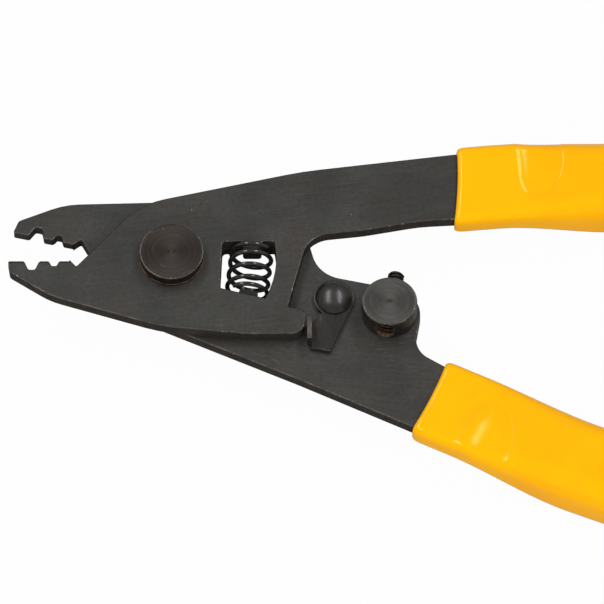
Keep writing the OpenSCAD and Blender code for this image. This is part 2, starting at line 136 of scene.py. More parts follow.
def streak_group():
    """Long fine marks that lie in one direction, in millimetres."""
    tree, given, out = group("streaks",
        [("Place", "Vector"), ("Angle", "Float"), ("Length", "Float"), ("Width", "Float")],
        [("Value", "Float")])
    turned = node(tree, "VectorRotate", {"Vector": given.outputs["Place"], "Angle": given.outputs["Angle"]},
        rotation_type="Z_AXIS").outputs[0]
    split = node(tree, "SeparateXYZ", {0: turned})
    along = maths(tree, "DIVIDE", split.outputs[0], given.outputs["Length"])
    across = maths(tree, "DIVIDE", split.outputs[1], given.outputs["Width"])
    place = node(tree, "CombineXYZ", {0: along, 1: across, 2: split.outputs[2]}).outputs[0]
    noise = node(tree, "TexNoise", {"Vector": place, "Scale": 1.0, "Detail": 2.0, "Roughness": 0.55})
    tree.links.new(noise.outputs[0], out.inputs["Value"])
    return tree


def patch_group():
    """A soft round patch about a point, for marks that sit in one place."""
    tree, given, out = group("patch",
        [("Place", "Vector"), ("Centre", "Vector"), ("Radius", "Float")], [("Mask", "Float")])
    away = node(tree, "VectorMath", {0: given.outputs["Place"], 1: given.outputs["Centre"]},
        operation="DISTANCE").outputs[1]
    share = maths(tree, "DIVIDE", away, given.outputs["Radius"])
    tree.links.new(ramp(tree, share, 0.55, 1.1, 1.0, 0.0), out.inputs["Mask"])
    return tree


def speck_group():
    """Scattered small specks: the share of cells that show one is Amount."""
    tree, given, out = group("specks",
        [("Place", "Vector"), ("Spacing", "Float"), ("Size", "Float"), ("Amount", "Float")],
        [("Mask", "Float")])
    place = node(tree, "VectorMath", {0: given.outputs["Place"]}, operation="SCALE")
    tree.links.new(maths(tree, "DIVIDE", 1.0, given.outputs["Spacing"]), place.inputs["Scale"])
    cells = node(tree, "TexVoronoi", {"Vector": place.outputs[0], "Scale": 1.0})
    size = maths(tree, "DIVIDE", given.outputs["Size"], given.outputs["Spacing"])
    near = maths(tree, "LESS_THAN", cells.outputs["Distance"], size)
    pick = node(tree, "SeparateColor", {0: cells.outputs["Color"]}).outputs[0]
    mask = maths(tree, "MULTIPLY", near, maths(tree, "LESS_THAN", pick, given.outputs["Amount"]))
    tree.links.new(mask, out.inputs["Mask"])
    return tree


streaks = streak_group()
patch = patch_group()
specks = speck_group()


def new_material(name):
    """A material with a Principled BSDF and the place on the piece in millimetres."""
    material = bpy.data.materials.new(name)
    material.use_nodes = True
    tree = material.node_tree
    tree.nodes.clear()
    shader = node(tree, "BsdfPrincipled")
    tree.links.new(shader.outputs[0], node(tree, "OutputMaterial").inputs[0])
    place = node(tree, "VectorMath", {0: node(tree, "TexCoord").outputs["Object"], "Scale": 1 / MM},
        operation="SCALE").outputs[0]
    return material, tree, shader, place


def bump(tree, shader, height, distance, strength=1.0):
    made = node(tree, "Bump", {"Strength": strength, "Distance": distance, "Height": height})
    tree.links.new(made.outputs[0], shader.inputs["Normal"])


def black_steel(name, grain_angle, scuffs, rough=0.42, dark=PLATE_DARK, light=PLATE_LIGHT, shine=0.06):
    """Blackened plate: rolled grain, cloudy finish, brown stains, specks and scuffs.
    scuffs holds (centre, radius, angle) of each scratched patch, in millimetres."""
    material, tree, shader, place = new_material(name)
    clouds = node(tree, "TexNoise", {"Vector": place, "Scale": 0.11, "Detail": 3.0}).outputs[0]
    mottle = node(tree, "TexNoise",
        {"Vector": place, "Scale": 1.3, "Detail": 4.0, "Roughness": 0.65}).outputs[0]
    stains = node(tree, "TexNoise",
        {"Vector": place, "Scale": 0.16, "Detail": 4.0, "Distortion": 0.6}).outputs[0]
    pores = node(tree, "TexNoise", {"Vector": place, "Scale": 4.5, "Detail": 2.0}).outputs[0]
    grain = use(tree, streaks, {"Place": place, "Angle": grain_angle, "Length": 9.0, "Width": 0.16})["Value"]
    colour = mix_colour(tree, ramp(tree, clouds, 0.36, 0.66), dark, light)
    colour = mix_colour(tree, ramp(tree, mottle, 0.34, 0.56, 0.35, 0.0), colour, PORE_BLACK)
    colour = mix_colour(tree, ramp(tree, stains, 0.50, 0.72, 0.0, 0.35), colour, PLATE_RUST)
    colour = mix_colour(tree, ramp(tree, grain, 0.54, 0.76, 0.0, shine), colour, BARE_STEEL)
    colour = mix_colour(tree, ramp(tree, pores, 0.30, 0.42, 0.45, 0.0), colour, PORE_BLACK)
    marks = 0.0
    for centre, radius, angle in scuffs:
        lines = use(tree, streaks, {"Place": place, "Angle": angle, "Length": 4.0, "Width": 0.09})["Value"]
        here = use(tree, patch, {"Place": place, "Centre": centre, "Radius": radius})["Mask"]
        marks = maths(tree, "MAXIMUM", marks, maths(tree, "MULTIPLY", ramp(tree, lines, 0.62, 0.76), here))
    nicks = use(tree, specks, {"Place": place, "Spacing": 3.1, "Size": 0.16, "Amount": 0.13})["Mask"]
    red = use(tree, specks, {"Place": place, "Spacing": 5.3, "Size": 0.22, "Amount": 0.10})["Mask"]
    colour = mix_colour(tree, maths(tree, "MULTIPLY", nicks, 0.35), colour, BARE_STEEL)
    colour = mix_colour(tree, maths(tree, "MULTIPLY", red, 0.6), colour, (0.14, 0.035, 0.025, 1))
    colour = mix_colour(tree, maths(tree, "MULTIPLY", marks, 0.36), colour, BARE_STEEL)
    tree.links.new(colour, shader.inputs["Base Color"])
    tree.links.new(ramp(tree, grain, 0.3, 0.7, rough - 0.06, rough + 0.08), shader.inputs["Roughness"])
    shader.inputs["Metallic"].default_value = 0.2
    shader.inputs["Specular IOR Level"].default_value = 0.35
    height = maths(tree, "ADD", maths(tree, "MULTIPLY", grain, 0.3), maths(tree, "MULTIPLY", mottle, 0.7))
    bump(tree, shader, height, 0.03 * MM, 0.5)
    return material


def edge_steel(name, black=PLATE_DARK, worn=WORN_EDGE, rubbed=BARE_STEEL):
    """An edge of a plate: handling has rubbed the black off some, in places down to the steel."""
    material, tree, shader, place = new_material(name)
    wear = node(tree, "TexNoise",
        {"Vector": place, "Scale": 0.45, "Detail": 5.0, "Roughness": 0.7}).outputs[0]
    bare = node(tree, "TexNoise", {"Vector": place, "Scale": 1.6, "Detail": 3.0}).outputs[0]
    colour = mix_colour(tree, ramp(tree, wear, 0.40, 0.66), black, worn)
    colour = mix_colour(tree, ramp(tree, bare, 0.62, 0.74), colour, rubbed)
    tree.links.new(colour, shader.inputs["Base Color"])
    tree.links.new(ramp(tree, wear, 0.3, 0.7, 0.5, 0.32), shader.inputs["Roughness"])
    shader.inputs["Metallic"].default_value = 0.3
    return material


def blanked_shaded_steel(name):
    """The walls left by blanking: browned, rough and finely scored through the thickness, and painted darker
    than the faces as painted shade.
    """
    material, tree, shader, place = new_material(name)
    scores = node(tree, "VectorMath", {0: place, 1: (2.2, 2.2, 0.25)}, operation="MULTIPLY").outputs[0]
    scored = node(tree, "TexNoise", {"Vector": scores, "Scale": 1.0, "Detail": 3.0}).outputs[0]
    stains = node(tree, "TexNoise", {"Vector": place, "Scale": 0.4, "Detail": 4.0}).outputs[0]
    colour = mix_colour(tree, ramp(tree, stains, 0.35, 0.65), WALL_SHADE_DARK, WALL_SHADE_BROWN)
    colour = mix_colour(tree, ramp(tree, scored, 0.45, 0.70, 0.0, 0.35), colour, PORE_BLACK)
    tree.links.new(colour, shader.inputs["Base Color"])
    tree.links.new(ramp(tree, scored, 0.3, 0.7, 0.50, 0.66), shader.inputs["Roughness"])
    shader.inputs["Specular IOR Level"].default_value = 0.12
    bump(tree, shader, scored, 0.05 * MM, 0.5)
    return material


def edit(obj):
    """Opens one object alone in edit mode, with all of it selected."""
    bpy.ops.object.select_all(action="DESELECT")
    bpy.context.view_layer.objects.active = obj
    obj.select_set(True)
    bpy.ops.object.mode_set(mode="EDIT")
    bpy.ops.mesh.select_all(action="SELECT")


def close_edit():
    bpy.ops.object.mode_set(mode="OBJECT")


def merged_copy(cad_node, piece):
    """A copy of a CAD node with its loose triangles joined into whole faces."""
    obj = bpy.data.objects.new(piece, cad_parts[cad_node].data.copy())
    bpy.context.scene.collection.objects.link(obj)
    obj.data.materials.clear()
    edit(obj)
    bpy.ops.mesh.remove_doubles(threshold=SAME_PLACE)
    bpy.ops.mesh.dissolve_limited(angle_limit=math.radians(0.5))
    close_edit()
    return obj


def apply_modifier(obj, kind, **settings):
    bpy.ops.object.select_all(action="DESELECT")
    bpy.context.view_layer.objects.active = obj
    obj.select_set(True)
    modifier = obj.modifiers.new(kind.lower(), kind)
    for name, value in settings.items():
        setattr(modifier, name, value)
    bpy.ops.object.modifier_apply(modifier=modifier.name)


def smooth(obj, angle=20):
    bpy.ops.object.select_all(action="DESELECT")
    bpy.context.view_layer.objects.active = obj
    obj.select_set(True)
    bpy.ops.object.shade_smooth_by_angle(angle=math.radians(angle))


def break_edges(obj, width, edge_material=1, segments=2):
    """Rounds the sharp edges, which take the material of that slot."""
    apply_modifier(obj, "BEVEL", width=width, segments=segments, limit_method="ANGLE",
        angle_limit=math.radians(28), material=edge_material, use_clamp_overlap=False)


def dress_plate(obj, face_steel):
    """Gives a plate its face steel and its worn edges, with painted shade on the edges that face +Y, and its
    blanked walls, painted darker as shade.
    """
    for metal in (face_steel, worn_edges, blanked_shaded_walls, painted_shade_edges):
        obj.data.materials.append(metal)
    break_edges(obj, EDGE_BREAK)
    # Walls get the blanked colour, painted darker as shade; edge bevels facing +Y get the near-black edge
    # colour as painted shade
    for face in obj.data.polygons:
        if face.material_index == 0 and abs(face.normal.z) < 0.3:
            face.material_index = 2
        elif face.material_index == 1 and face.normal.y > 0.1:
            face.material_index = 3
    smooth(obj)


def finish_piece(obj, body, finish, *cad_nodes):
    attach(obj, body)
    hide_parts(*cad_nodes)


worn_edges = edge_steel("worn_plate_edge")
# An edge colour all but black: painted shade on the plates' edges that face +Y and on the latch's edges
painted_shade_edges = edge_steel("plate_edge_painted_shade", PORE_BLACK, PORE_BLACK, (0.020, 0.017, 0.015, 1))
blanked_shaded_walls = blanked_shaded_steel("blanked_plate_wall_painted_shade")

front_plate = merged_copy("front_plate", "front_plate_steel")
dress_plate(front_plate, black_steel("front_plate_black", -0.15,
    [((14.4, 9.6, 6.2), 1.5, 1.6), ((-6, -12.5, 6.2), 2.2, 0.9), ((8, -12.2, 6.2), 3, -0.2)]))
finish_piece(front_plate, "front_arm", "blackened_steel", "front_plate")

rear_plate = merged_copy("rear_plate", "rear_plate_steel")
dress_plate(rear_plate, black_steel("rear_plate_black", 0.12,
    [((-26, 7.2, 3.8), 3.6, 1.0), ((3.5, -14.6, 3.8), 5.5, 0.75), ((17, -17.5, 3.8), 4.5, 0.6),
     ((40, -18, 3.8), 7.0, -0.15)]))
finish_piece(rear_plate, "rear_arm", "blackened_steel", "rear_plate")


# ------------------------------------------------------------------ pivot
# A shouldered steel stud, turned and then peened over behind the plates, with a bronze
# washer under its head and a steel washer behind. Its head shows the lathe's rings.

TURNED_DARK = (0.019, 0.0145, 0.0125, 1)
TURNED_LIGHT = (0.045, 0.035, 0.029, 1)
AROUND = 128                # sides of a turned piece


def turned_piece(name, at, outline, sides=AROUND, hollow=False):
    """A lathed piece about a Z axis through at. outline holds (radius, height) from its
    first end to its last, in metres. A hollow one closes on its own first ring."""
    radius, height = outline[0]
    bpy.ops.object.select_all(action="DESELECT")
    bpy.ops.mesh.primitive_circle_add(vertices=sides, radius=radius,
        fill_type="NOTHING" if hollow else "NGON", location=(at[0], at[1], height))
    obj = bpy.context.object
    obj.name = obj.data.name = name
    bpy.ops.object.transform_apply(location=True, rotation=True, scale=True)
    bpy.ops.object.mode_set(mode="EDIT")
    for next_radius, next_height in outline[1:]:
        if hollow:
            bpy.ops.mesh.extrude_edges_move()
        else:
            bpy.ops.mesh.extrude_region_move()
        scale = next_radius / radius
        bpy.ops.transform.resize(value=(scale, scale, 1), center_override=(at[0], at[1], height))
        bpy.ops.transform.translate(value=(0, 0, next_height - height))
        radius, height = next_radius, next_height
    if hollow:
        bpy.ops.mesh.select_all(action="DESELECT")
        bpy.ops.mesh.select_non_manifold(extend=False, use_boundary=True)
        bpy.ops.mesh.bridge_edge_loops()
    bpy.ops.mesh.select_all(action="SELECT")
    bpy.ops.mesh.normals_make_consistent(inside=False)
    close_edit()
    return obj


def turned_face(radius, height, rings, depth, punch):
    """Points of a faced end, from its rim in to the punch mark at its centre."""
    points = []
    for i in range(rings):
        r = radius + (1.6 * punch - radius) * i / rings
        points += [(r, height - depth * (i % 2))]
    return points + [(punch, height), (0.35 * punch, height - 0.8 * punch), (0.02 * punch, height - punch)]


def turned_steel(name, centre, dark=TURNED_DARK, light=TURNED_LIGHT, rough=0.38, sheen=0.35):
    """Turned and blackened steel: fine rings about the piece's own axis."""
    material, tree, shader, place = new_material(name)
    offset = node(tree, "VectorMath", {0: place, 1: centre}, operation="SUBTRACT").outputs[0]
    flat = node(tree, "VectorMath", {0: offset, 1: (1, 1, 0)}, operation="MULTIPLY").outputs[0]
    radius = node(tree, "VectorMath", {0: flat}, operation="LENGTH").outputs[1]
    wander = node(tree, "TexNoise", {"Vector": place, "Scale": 0.35, "Detail": 2.0}).outputs[0]
    ring_at = node(tree, "CombineXYZ",
        {0: maths(tree, "MULTIPLY", radius, 5.5), 1: maths(tree, "MULTIPLY", wander, 1.2)}).outputs[0]
    rings = node(tree, "TexNoise",
        {"Vector": ring_at, "Scale": 1.0, "Detail": 4.0, "Roughness": 0.7}).outputs[0]
    clouds = node(tree, "TexNoise", {"Vector": place, "Scale": 0.5, "Detail": 4.0}).outputs[0]
    colour = mix_colour(tree, ramp(tree, rings, 0.20, 0.85), dark, light)
    colour = mix_colour(tree, ramp(tree, clouds, 0.50, 0.75, 0.0, 0.35), colour, PLATE_RUST)
    band_at = node(tree, "CombineXYZ",
        {0: maths(tree, "MULTIPLY", radius, 1.2), 1: maths(tree, "MULTIPLY", wander, 0.6)}).outputs[0]
    bands = node(tree, "TexNoise", {"Vector": band_at, "Scale": 1.0, "Detail": 1.0}).outputs[0]
    near_line = maths(tree, "ABSOLUTE", maths(tree, "SUBTRACT", bands, 0.5))
    colour = mix_colour(tree, ramp(tree, near_line, 0.0, 0.02, 0.06, 0.0), colour, BARE_STEEL)
    nicks = use(tree, specks, {"Place": place, "Spacing": 1.7, "Size": 0.10, "Amount": 0.16})["Mask"]
    colour = mix_colour(tree, maths(tree, "MULTIPLY", nicks, 0.45), colour, BARE_STEEL)
    tree.links.new(colour, shader.inputs["Base Color"])
    tree.links.new(ramp(tree, rings, 0.3, 0.7, rough - 0.08, rough + 0.08), shader.inputs["Roughness"])
    shader.inputs["Metallic"].default_value = sheen
    shader.inputs["Specular IOR Level"].default_value = 0.3
    shader.inputs["Anisotropic"].default_value = 0.75
    around = node(tree, "Tangent", direction_type="RADIAL", axis="Z").outputs[0]
    tree.links.new(around, shader.inputs["Tangent"])
    bump(tree, shader, rings, 0.015 * MM, 0.5)
    return material


def shaded_side_steel(name, dark, brown):
    """The sides of a turned piece, painted nearly black as shade, with brown traces."""
    material, tree, shader, place = new_material(name)
    traces = node(tree, "TexNoise",
        {"Vector": place, "Scale": 0.9, "Detail": 5.0, "Roughness": 0.7}).outputs[0]
    turned = node(tree, "VectorMath", {0: place, 1: (0.3, 0.3, 9.0)}, operation="MULTIPLY").outputs[0]
    lines = node(tree, "TexNoise", {"Vector": turned, "Scale": 1.0, "Detail": 2.0}).outputs[0]
    colour = mix_colour(tree, ramp(tree, traces, 0.50, 0.70), dark, brown)
    chips = use(tree, specks, {"Place": place, "Spacing": 1.3, "Size": 0.12, "Amount": 0.12})["Mask"]
    colour = mix_colour(tree, maths(tree, "MULTIPLY", chips, 0.5), colour, BARE_STEEL)
    tree.links.new(colour, shader.inputs["Base Color"])
    tree.links.new(ramp(tree, lines, 0.3, 0.7, 0.26, 0.40), shader.inputs["Roughness"])
    shader.inputs["Specular IOR Level"].default_value = 0.5
    bump(tree, shader, lines, 0.01 * MM, 0.4)
    return material


def shade_sides_light_rims(obj, side_steel, rim_steel):
    """Gives a turned piece its sides painted dark as shade, and the rim of its faced end rubbed steel that is
    also a painted highlight.
    """
    top = max(v.co.z for v in obj.data.vertices)
    obj.data.materials.append(side_steel)
    obj.data.materials.append(rim_steel)
    for face in obj.data.polygons:
        if abs(face.normal.z) < 0.3:
            face.material_index = 1
        # The faced end's rim: rubbed steel, painted lighter as a highlight
        elif abs(face.normal.z) < 0.96 and face.center.z > top - 0.5 * MM:
            face.material_index = 2


stud_low, stud_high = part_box("pivot_stud")
tail_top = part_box("rear_washer")[0].z
head_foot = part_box("pivot_washer")[1].z
stud_r = 3.175 * MM
head_r = stud_high.x
tail_r = 4.4 * MM
CHAMFER = 0.35 * MM
HEAD_ROUND = 0.2 * MM

stud = turned_piece("pivot_stud_turned", (0, 0),
    [(tail_r - CHAMFER, stud_low.z), (tail_r, stud_low.z + CHAMFER), (tail_r, tail_top), (stud_r, tail_top),
     (stud_r, head_foot), (head_r - 0.15 * MM, head_foot), (head_r, head_foot + 0.15 * MM),
     (head_r, stud_high.z - HEAD_ROUND), (head_r - 0.3 * HEAD_ROUND, stud_high.z - 0.3 * HEAD_ROUND)]
    + turned_face(head_r - HEAD_ROUND, stud_high.z, 14, 0.007 * MM, 0.3 * MM))
stud.data.materials.append(turned_steel("pivot_stud_steel", (0, 0, 0)))
shade_sides_light_rims(stud,
    shaded_side_steel("pivot_stud_side_painted_shade", (0.006, 0.0055, 0.005, 1), (0.020, 0.012, 0.009, 1)), worn_edges)
smooth(stud, 40)
finish_piece(stud, "rear_arm", "turned_steel", "pivot_stud")


def washer_piece(name, cad_node, bore_r, chamfer):
    low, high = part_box(cad_node)
    r = high.x
    return turned_piece(name, (0, 0), [(bore_r, low.z), (r - chamfer, low.z), (r, low.z + chamfer),
        (r, high.z - chamfer), (r - chamfer, high.z), (bore_r, high.z)], hollow=True)


def washer_metal(name, colour_a, colour_b, rough):
    material, tree, shader, place = new_material(name)
    tarnish = node(tree, "TexNoise", {"Vector": place, "Scale": 0.8, "Detail": 5.0}).outputs[0]
    colour = mix_colour(tree, ramp(tree, tarnish, 0.35, 0.65), colour_a, colour_b)
    tree.links.new(colour, shader.inputs["Base Color"])
    tree.links.new(ramp(tree, tarnish, 0.3, 0.7, rough, rough + 0.15), shader.inputs["Roughness"])
    shader.inputs["Metallic"].default_value = 1.0
    bump(tree, shader, tarnish, 0.02 * MM, 0.4)
    return material


front_washer = washer_piece("pivot_washer_bronze", "pivot_washer", stud_r + 0.05 * MM, 0.08 * MM)
front_washer.data.materials.append(washer_metal("washer_bronze",
    (0.10, 0.050, 0.034, 1), (0.42, 0.22, 0.15, 1), 0.32))
smooth(front_washer)
finish_piece(front_washer, "rear_arm", "washer_bronze", "pivot_washer")

rear_washer = washer_piece("rear_washer_steel", "rear_washer", stud_r + 0.03 * MM, 0.1 * MM)
rear_washer.data.materials.append(washer_metal("washer_steel",
    (0.06, 0.055, 0.05, 1), (0.16, 0.14, 0.12, 1), 0.35))
smooth(rear_washer)
finish_piece(rear_washer, "rear_arm", "turned_steel", "rear_washer")


# ------------------------------------------------------------------ return spring
# Oil-blackened spring wire, wound closer in the turn at each end. It sits on two nubs in
# the window of the plates and is squeezed as the handles close.

WIRE_R = 0.4 * MM
COIL_R = 3.5 * MM
TURNS = 4.25
CLOSED_TURNS = 1
CLOSED_PITCH = 1.44 * MM
WIRE_START = math.radians(230)
PER_TURN = 40
spring_z = sum(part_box("return_spring"), Vector()).z / 2
SPRING_FOOT = Vector((12.956 * MM, -6.046 * MM, spring_z))
SPRING_HEAD = Vector((13.810 * MM, 2.361 * MM, spring_z))

spring_length = (SPRING_HEAD - SPRING_FOOT).length
spring_axis = (SPRING_HEAD - SPRING_FOOT).normalized()
spring_side = spring_axis.cross(Vector((0, 0, 1)))


def coil_height(turn):
    if turn < CLOSED_TURNS:
        return CLOSED_PITCH * turn
    if turn > TURNS - CLOSED_TURNS:
        return spring_length - CLOSED_PITCH * (TURNS - turn)
    closed = CLOSED_PITCH * CLOSED_TURNS
    return closed + (spring_length - 2 * closed) * (turn - CLOSED_TURNS) / (TURNS - 2 * CLOSED_TURNS)


wire = bpy.data.curves.new("spring_wire_path", "CURVE")
wire.dimensions = "3D"
wire.bevel_depth = WIRE_R
wire.bevel_resolution = 5
wire.use_fill_caps = True
coils = wire.splines.new("POLY")
coils.points.add(int(TURNS * PER_TURN))
for i, point in enumerate(coils.points):
    turn = i / PER_TURN
    angle = WIRE_START + 2 * math.pi * turn
    place = (SPRING_FOOT + spring_axis * coil_height(turn) + spring_side * COIL_R * math.cos(angle)
        - Vector((0, 0, COIL_R * math.sin(angle))))
    point.co = (*place, 1)
spring = bpy.data.objects.new("return_spring_wire", wire)
bpy.context.scene.collection.objects.link(spring)
bpy.ops.object.select_all(action="DESELECT")
bpy.context.view_layer.objects.active = spring
spring.select_set(True)
bpy.ops.object.convert(target="MESH")
spring = bpy.context.object
edit(spring)
bpy.ops.mesh.remove_doubles(threshold=SAME_PLACE)
bpy.ops.mesh.normals_make_consistent(inside=False)
close_edit()

wire_steel, tree, shader, place = new_material("spring_wire")
drawn = node(tree, "TexNoise", {"Vector": place, "Scale": 1.1, "Detail": 4.0}).outputs[0]
colour = mix_colour(tree, ramp(tree, drawn, 0.35, 0.7), (0.008, 0.008, 0.008, 1), (0.03, 0.028, 0.026, 1))
tree.links.new(colour, shader.inputs["Base Color"])
tree.links.new(ramp(tree, drawn, 0.3, 0.7, 0.14, 0.24), shader.inputs["Roughness"])
shader.inputs["Metallic"].default_value = 0.2
shader.inputs["Specular IOR Level"].default_value = 0.9
bump(tree, shader, drawn, 0.01 * MM, 0.4)
spring.data.materials.append(wire_steel)
smooth(spring, 50)
finish_piece(spring, "rear_arm", "spring_wire", "return_spring")
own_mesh(spring)


# ------------------------------------------------------------------ lock latch
# A stamped sheet-steel hook that swings on its rivet and catches the front plate's heel
# with a bent-up flange.

latch = merged_copy("lock_latch", "lock_latch_sheet")
latch.data.materials.append(black_steel("latch_black", 1.35, [((26, -12.5, 4.6), 2.2, 1.4)],
    rough=0.34, dark=(0.015, 0.014, 0.013, 1), light=(0.024, 0.022, 0.020, 1), shine=0.015))
latch.data.materials.append(painted_shade_edges)
latch.data.materials.append(worn_edges)
# The latch's edge bevels take the near-black edge colour: painted shadow lines along its edges
break_edges(latch, 0.06 * MM)
flange_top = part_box("lock_latch")[1].z
# The flange's top takes the worn edge colour: rubbed steel and a painted highlight
for face in latch.data.polygons:
    if face.center.z > flange_top - 0.15 * MM:
        face.material_index = 2
smooth(latch, 30)
finish_piece(latch, "latch", "blackened_steel", "lock_latch")


# ------------------------------------------------------------------ latch rivet
# A domed steel rivet, headed over behind the rear plate, blackened and polished on its dome.

DOME_STEPS = 14
rivet_low, rivet_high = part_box("latch_rivet")
rivet_at = ((rivet_low.x + rivet_high.x) / 2, (rivet_low.y + rivet_high.y) / 2)
rivet_r = (rivet_high.x - rivet_low.x) / 2
dome_foot = rivet_high.z - 1.75 * MM
rim_top = dome_foot + 0.25 * MM
rise = rivet_high.z - rim_top
dome_r = (rivet_r ** 2 + rise ** 2) / (2 * rise)
dome_edge = math.asin(rivet_r / dome_r)
rivet_tail_r = 2.6 * MM
rivet_shank_r = 1.6 * MM
rivet_tail_h = 0.8 * MM

dome = [(dome_r * math.sin(dome_edge * (1 - i / DOME_STEPS)),
         rivet_high.z - dome_r + dome_r * math.cos(dome_edge * (1 - i / DOME_STEPS)))
        for i in range(DOME_STEPS)]
rivet = turned_piece("latch_rivet_dome", rivet_at,
    [(rivet_tail_r - 0.25 * MM, rivet_low.z), (rivet_tail_r, rivet_low.z + 0.2 * MM),
     (rivet_tail_r, rivet_low.z + rivet_tail_h), (rivet_shank_r, rivet_low.z + rivet_tail_h),
     (rivet_shank_r, dome_foot), (rivet_r - 0.1 * MM, dome_foot), (rivet_r, dome_foot + 0.1 * MM)]
    + dome + [(0.02 * MM, rivet_high.z)])
dome_steel, tree, shader, place = new_material("rivet_dome_steel")
dulled = node(tree, "TexNoise", {"Vector": place, "Scale": 0.9, "Detail": 4.0}).outputs[0]
pitted = node(tree, "TexNoise", {"Vector": place, "Scale": 5.0, "Detail": 2.0}).outputs[0]
colour = mix_colour(tree, ramp(tree, dulled, 0.35, 0.65), (0.009, 0.008, 0.007, 1), (0.016, 0.014, 0.012, 1))
tree.links.new(colour, shader.inputs["Base Color"])
tree.links.new(ramp(tree, dulled, 0.3, 0.7, 0.29, 0.34), shader.inputs["Roughness"])
shader.inputs["Metallic"].default_value = 0.2
shader.inputs["Specular IOR Level"].default_value = 1.0
bump(tree, shader, pitted, 0.006 * MM, 0.25)
rivet.data.materials.append(dome_steel)
smooth(rivet, 40)
finish_piece(rivet, "rear_arm", "turned_steel", "latch_rivet")


# ------------------------------------------------------------------ stop post
# A turned steel post riveted into the rear plate. A threaded hole runs right through it for
# the stop screw, and its faced top carries a centre punch mark.

post_low, post_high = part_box("stop_post")
POST_R = 4.7625 * MM
post_at = (post_high.x - POST_R, (post_low.y + post_high.y) / 2)
plate_top = 3.8 * MM
post_tail_top = post_low.z + 0.8 * MM
POST_TAIL_R = 3.5 * MM
TENON_R = 2.5 * MM
POST_CHAMFER = 0.3 * MM
SCREW_R = 1.42 * MM
THREAD_PITCH = 0.64 * MM
THREAD_DEPTH = 0.30 * MM
SCREW_LEAN = math.radians(-10.9)
screw_mid = Vector((*post_at, (plate_top + post_high.z) / 2))
upright_to_screw = Matrix.Translation(screw_mid) @ Matrix.Rotation(SCREW_LEAN, 4, "Z") @ Matrix.Rotation(
    -math.pi / 2, 4, "X")


def threaded_rod(name, outer, inner, start, length):
    """A closed rod with a cut thread, along Z from start, its ends squared off."""
    rod = bpy.data.objects.new(name, bpy.data.meshes.new(name))
    bpy.context.scene.collection.objects.link(rod)
    crest = 0.1 * THREAD_PITCH
    first = start - 2 * THREAD_PITCH
    rod.data.from_pydata([(inner, 0, first + crest), (outer, 0, first + 0.5 * THREAD_PITCH - crest),
        (outer, 0, first + 0.5 * THREAD_PITCH + crest), (inner, 0, first + THREAD_PITCH - crest),
        (inner, 0, first + THREAD_PITCH + crest)], [(0, 1), (1, 2), (2, 3), (3, 4)], [])
    apply_modifier(rod, "SCREW", angle=2 * math.pi, screw_offset=THREAD_PITCH, steps=40, render_steps=40,
        iterations=math.ceil(length / THREAD_PITCH) + 4)
    edit(rod)
    bpy.ops.mesh.remove_doubles(threshold=SAME_PLACE)
    for at, outwards in ((start, -1), (start + length, 1)):
        bpy.ops.mesh.select_all(action="SELECT")
        bpy.ops.mesh.bisect(plane_co=(0, 0, at), plane_no=(0, 0, outwards), use_fill=True,
            clear_outer=True, threshold=0.0001 * MM)
    bpy.ops.mesh.select_all(action="SELECT")
    bpy.ops.mesh.normals_make_consistent(inside=False)
    close_edit()
    return rod


def combine(obj, tool, operation):
    apply_modifier(obj, "BOOLEAN", operation=operation, object=tool, solver="EXACT", material_mode="TRANSFER")
    bpy.data.objects.remove(tool)


post = turned_piece("stop_post_turned", post_at,
    [(POST_TAIL_R - 0.3 * MM, post_low.z), (POST_TAIL_R, post_low.z + 0.25 * MM),
     (POST_TAIL_R, post_tail_top), (TENON_R, post_tail_top), (TENON_R, plate_top), (POST_R, plate_top),
     (POST_R, post_high.z - POST_CHAMFER), (POST_R - 0.35 * POST_CHAMFER, post_high.z - 0.25 * POST_CHAMFER)]
    + turned_face(POST_R - POST_CHAMFER, post_high.z, 16, 0.006 * MM, 0.32 * MM))
# The post's top is painted lighter than the other turned steel, partly as a painted highlight
post.data.materials.append(turned_steel("stop_post_steel", (post_at[0] / MM, post_at[1] / MM, 0),
    dark=(0.034, 0.033, 0.031, 1), light=(0.098, 0.095, 0.088, 1)))
tap = threaded_rod("tap", SCREW_R + 0.05 * MM + THREAD_DEPTH, SCREW_R + 0.05 * MM, -2 * POST_R, 4 * POST_R)
tap.data.transform(upright_to_screw)
sink = turned_piece("hole_mouth", (0, 0), [(SCREW_R + THREAD_DEPTH, -POST_R + 0.45 * MM),
    (SCREW_R + THREAD_DEPTH + 0.9 * MM, -POST_R - 0.45 * MM)], sides=64)
sink.data.transform(upright_to_screw)
thread_brown, tree, shader, place = new_material("tapped_thread")
stained = node(tree, "TexNoise", {"Vector": place, "Scale": 2.0, "Detail": 4.0}).outputs[0]
colour = mix_colour(tree, ramp(tree, stained, 0.35, 0.65), (0.028, 0.017, 0.013, 1), (0.12, 0.075, 0.052, 1))
tree.links.new(colour, shader.inputs["Base Color"])
shader.inputs["Metallic"].default_value = 0.5
shader.inputs["Roughness"].default_value = 0.4
shade_sides_light_rims(post, shaded_side_steel("stop_post_side_painted_shade", (0.010, 0.009, 0.008, 1), (0.034, 0.021, 0.015, 1)), worn_edges)
for cutter in (tap, sink):
    cutter.data.materials.append(thread_brown)
    combine(post, cutter, "DIFFERENCE")
smooth(post, 35)
finish_piece(post, "rear_arm", "turned_steel", "stop_post")


# ------------------------------------------------------------------ stop screw
# A blackened socket set screw through the post. Its tip meets the upper handle when the
# jaws close, and a hex key from the far side moves it.

SOCKET_DEPTH = 1.6 * MM
SOCKET_R = 1.27 * MM / math.sqrt(3)
SCREW_LENGTH = 9.5 * MM
SCREW_CHAMFER = 0.3 * MM
to_screw = upright_to_screw.inverted()
screw_corners = [to_screw @ v.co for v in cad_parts["stop_screw"].data.vertices]
screw_start = min(c.z for c in screw_corners)

